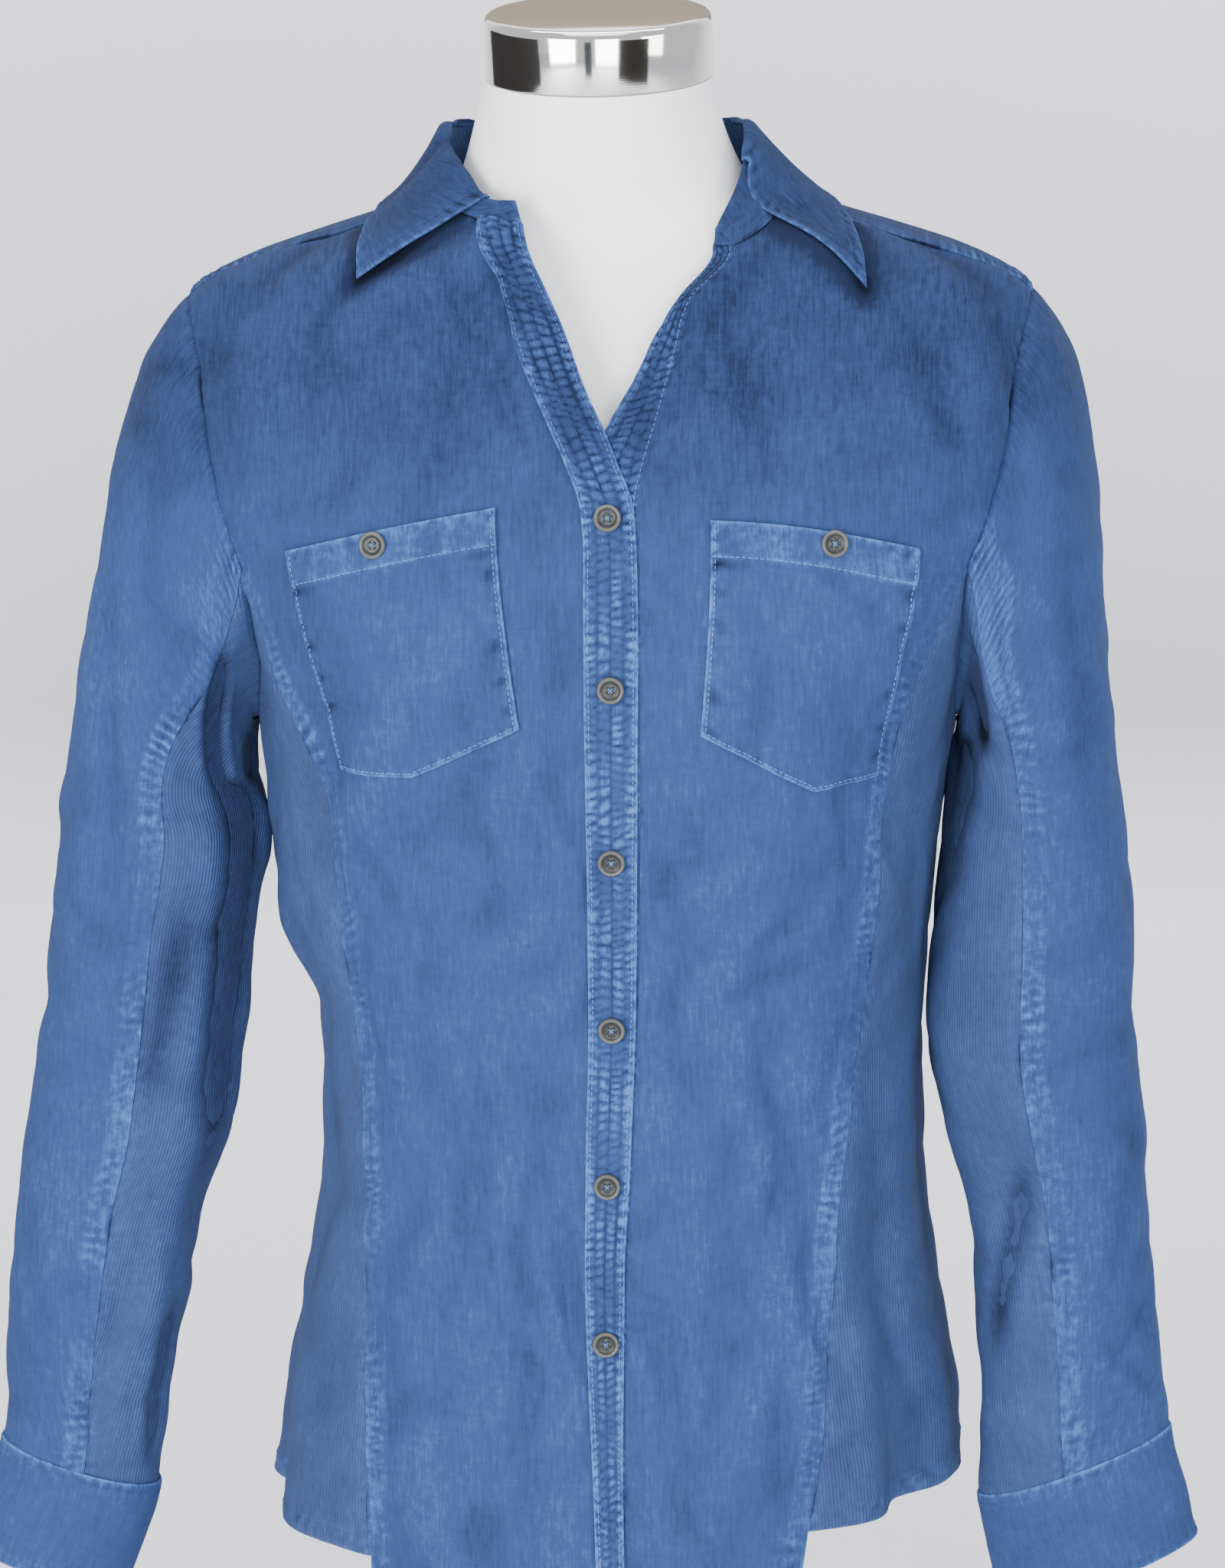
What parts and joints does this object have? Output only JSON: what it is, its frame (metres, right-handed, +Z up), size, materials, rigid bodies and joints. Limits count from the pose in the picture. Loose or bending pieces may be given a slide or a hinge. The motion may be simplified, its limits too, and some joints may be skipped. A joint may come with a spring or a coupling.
{
  "type": "corduroy shirt on a dress form",
  "caption": "Fitted long-sleeved pincord shirt with collar, V neck, knit side panels and pointed chest pockets, buttoned on a limbless torso on a round base.",
  "frame": {"origin": "middle of the base's underside, under the post", "axes": "+Z up, the shirt's front faces -Y, +X is the wearer's left and the picture's right"},
  "size_m": [0.6314, 0.32, 0.9481],
  "materials": {
    "pincord": "garment-dyed fine corduroy, worn pale at the seams",
    "rib_knit": "fine rib knit, duller than the pincord",
    "button_grey": "smoky grey with a soft shine",
    "white_skin": "smooth satin white",
    "chrome": "polished"
  },
  "bodies": {
    "root": {"back": "pincord", "band_under": "pincord", "band_upper": "pincord", "button_cuff_left": "button_grey", "button_cuff_right": "button_grey", "button_front_1": "button_grey", "button_front_2": "button_grey", "button_front_3": "button_grey", "button_front_4": "button_grey", "button_front_5": "button_grey", "button_front_6": "button_grey", "button_pocket_left": "button_grey", "button_pocket_right": "button_grey", "collar_fall": "pincord", "collar_stand": "pincord", "cuff_left": "pincord", "cuff_right": "pincord", "form_base": "white_skin", "form_body": "white_skin", "form_neck_cap": "chrome", "form_post": "chrome", "front_left": "pincord", "front_right": "pincord", "pocket_left": "pincord", "pocket_right": "pincord", "side_left": "rib_knit", "side_right": "rib_knit", "sleeve_under_left": "rib_knit", "sleeve_under_right": "rib_knit", "sleeve_upper_left": "pincord", "sleeve_upper_right": "pincord", "yoke": "pincord"}
  },
  "joints": []
}
